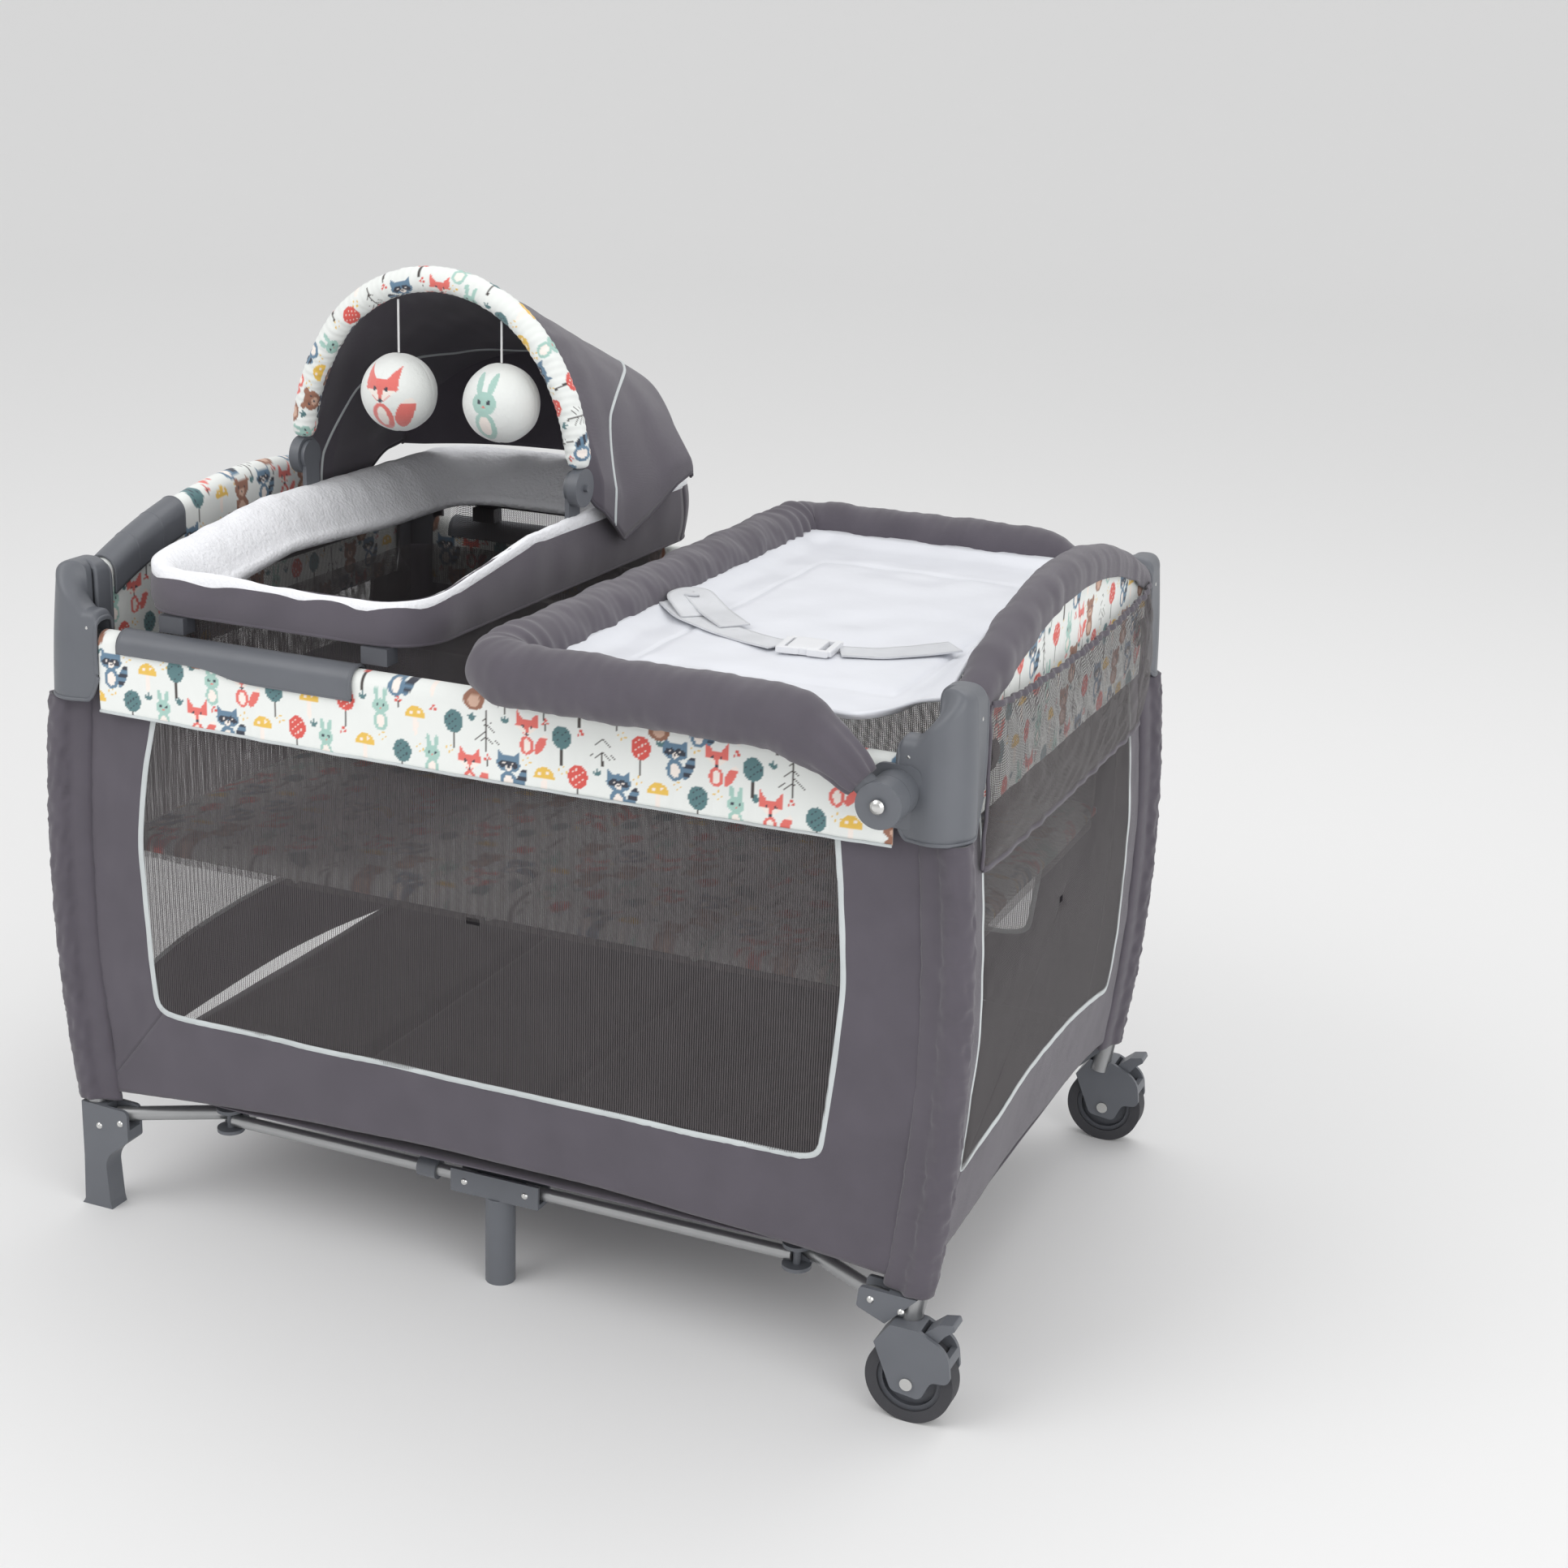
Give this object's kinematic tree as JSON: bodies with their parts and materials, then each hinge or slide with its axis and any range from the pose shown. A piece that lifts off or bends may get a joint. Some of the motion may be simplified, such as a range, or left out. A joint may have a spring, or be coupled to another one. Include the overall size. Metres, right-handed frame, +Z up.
{
  "type": "travel play yard",
  "caption": "Folding-frame travel play yard with mesh walls, hanging bassinet, lift-off napper with tilting canopy, flip-over changing table, rolling wheels and foot brakes.",
  "frame": {"origin": "on the floor, midway between the four corner feet", "axes": "+X along the long side towards the wheels and the changing table's hinges, +Y towards the back, +Z up"},
  "size_m": [1.0509, 0.8358, 1.02],
  "materials": {
    "gray_plastic": "satin",
    "steel_tube": "satin",
    "rivet_steel": "polished",
    "gray_fabric": "matte",
    "wall_fabric": "matte",
    "printed_fabric": "matte",
    "mat_fabric": "matte",
    "mesh_fabric": "matte",
    "plush_fabric": "soft",
    "white_cord": "matte",
    "white_vinyl": "satin",
    "white_webbing": "matte",
    "white_plastic": "satin",
    "wheel_rubber": "matte"
  },
  "bodies": {
    "yard": {"base_hub": "gray_plastic", "base_knuckles": "gray_plastic", "base_tubes": "steel_tube", "bassinet_pad": "printed_fabric", "bassinet_sling": "mesh_fabric", "changer_mounts": "gray_plastic", "corner_brackets": "gray_plastic", "corner_feet": "gray_plastic", "corner_posts": "steel_tube", "corner_sleeves": "gray_fabric", "end_bands": "printed_fabric", "end_rails": "steel_tube", "end_roll": "gray_fabric", "floor_clips": "gray_plastic", "floor_mat": "mat_fabric", "frame_rivets": "rivet_steel", "long_bands": "printed_fabric", "long_rails": "steel_tube", "middle_feet": "gray_plastic", "organizer_pocket": "mesh_fabric", "rail_guards": "gray_plastic", "rail_latches": "gray_plastic", "wall_back": "wall_fabric", "wall_front": "wall_fabric", "wall_left": "wall_fabric", "wall_right": "wall_fabric", "wheel_axles": "rivet_steel", "wheel_housing_back": "gray_plastic", "wheel_housing_front": "gray_plastic", "yard_floor": "gray_fabric"},
    "wheel_front": {"tyre_front": "wheel_rubber", "wheel_disc_front": "gray_plastic"},
    "wheel_back": {"tyre_back": "wheel_rubber", "wheel_disc_back": "gray_plastic"},
    "pedal_front": {"brake_pedal_front": "gray_plastic"},
    "pedal_back": {"brake_pedal_back": "gray_plastic"},
    "changer": {"changer_arms": "gray_plastic", "changer_frame": "steel_tube", "changer_rim": "gray_fabric", "changer_tray": "white_vinyl", "changer_strap": "white_webbing", "changer_buckle": "white_plastic"},
    "napper": {"napper_panel": "gray_fabric", "napper_rim": "plush_fabric", "napper_tub": "mesh_fabric", "napper_pad": "mat_fabric", "napper_frame": "steel_tube", "canopy_mounts": "gray_plastic"},
    "canopy": {"canopy_bow": "gray_plastic", "canopy_roll": "printed_fabric", "canopy_hood": "gray_fabric"},
    "toy_left": {"toy_left": "plush_fabric", "toy_string_left": "white_cord"},
    "toy_right": {"toy_right": "plush_fabric", "toy_string_right": "white_cord"},
    "latch_front": {"latch_button_front": "gray_plastic"},
    "latch_back": {"latch_button_back": "gray_plastic"},
    "latch_left": {"latch_button_left": "gray_plastic"},
    "latch_right": {"latch_button_right": "gray_plastic"}
  },
  "joints": [
    {"name": "wheel_roll_front", "type": "hinge", "parent": "yard", "child": "wheel_front", "pos_m": [0.485, -0.343, 0.045], "axis": [0, 1, 0], "continuous": true},
    {"name": "brake_press_front", "type": "hinge", "parent": "yard", "child": "pedal_front", "pos_m": [0.503, -0.343, 0.094], "axis": [0, 1, 0], "range_deg": [0, 16]},
    {"name": "wheel_roll_back", "type": "hinge", "parent": "yard", "child": "wheel_back", "pos_m": [0.485, 0.343, 0.045], "axis": [0, 1, 0], "continuous": true},
    {"name": "brake_press_back", "type": "hinge", "parent": "yard", "child": "pedal_back", "pos_m": [0.503, 0.343, 0.094], "axis": [0, 1, 0], "range_deg": [0, 16]},
    {"name": "changer_flip", "type": "hinge", "parent": "yard", "child": "changer", "pos_m": [0.44, 0, 0.635], "axis": [0, 1, 0], "range_deg": [0, 243], "deforming": ["changer_tray", "changer_strap", "changer_buckle"]},
    {"name": "napper_lift", "type": "slide", "parent": "yard", "child": "napper", "axis": [0, 0, 1], "range_m": [0, 0.3]},
    {"name": "canopy_tilt", "type": "hinge", "parent": "napper", "child": "canopy", "pos_m": [-0.238, 0, 0.798], "axis": [-1, 0, 0], "range_deg": [0, 75], "deforming": ["canopy_hood"]},
    {"name": "toy_swing_left", "type": "hinge", "parent": "canopy", "child": "toy_left", "pos_m": [-0.287, 0, 0.981], "axis": [1, 0, 0], "range_deg": [-35, 35]},
    {"name": "toy_swing_right", "type": "hinge", "parent": "canopy", "child": "toy_right", "pos_m": [-0.159, 0, 0.9679], "axis": [1, 0, 0], "range_deg": [-35, 35]},
    {"name": "latch_squeeze_front", "type": "slide", "parent": "yard", "child": "latch_front", "axis": [0, 0, 1], "range_m": [0, 0.004], "stiffness_N_per_m": 400},
    {"name": "latch_squeeze_back", "type": "slide", "parent": "yard", "child": "latch_back", "axis": [0, 0, 1], "range_m": [0, 0.004], "stiffness_N_per_m": 400},
    {"name": "latch_squeeze_left", "type": "slide", "parent": "yard", "child": "latch_left", "axis": [0, 0, 1], "range_m": [0, 0.004], "stiffness_N_per_m": 400},
    {"name": "latch_squeeze_right", "type": "slide", "parent": "yard", "child": "latch_right", "axis": [0, 0, 1], "range_m": [0, 0.004], "stiffness_N_per_m": 400}
  ]
}
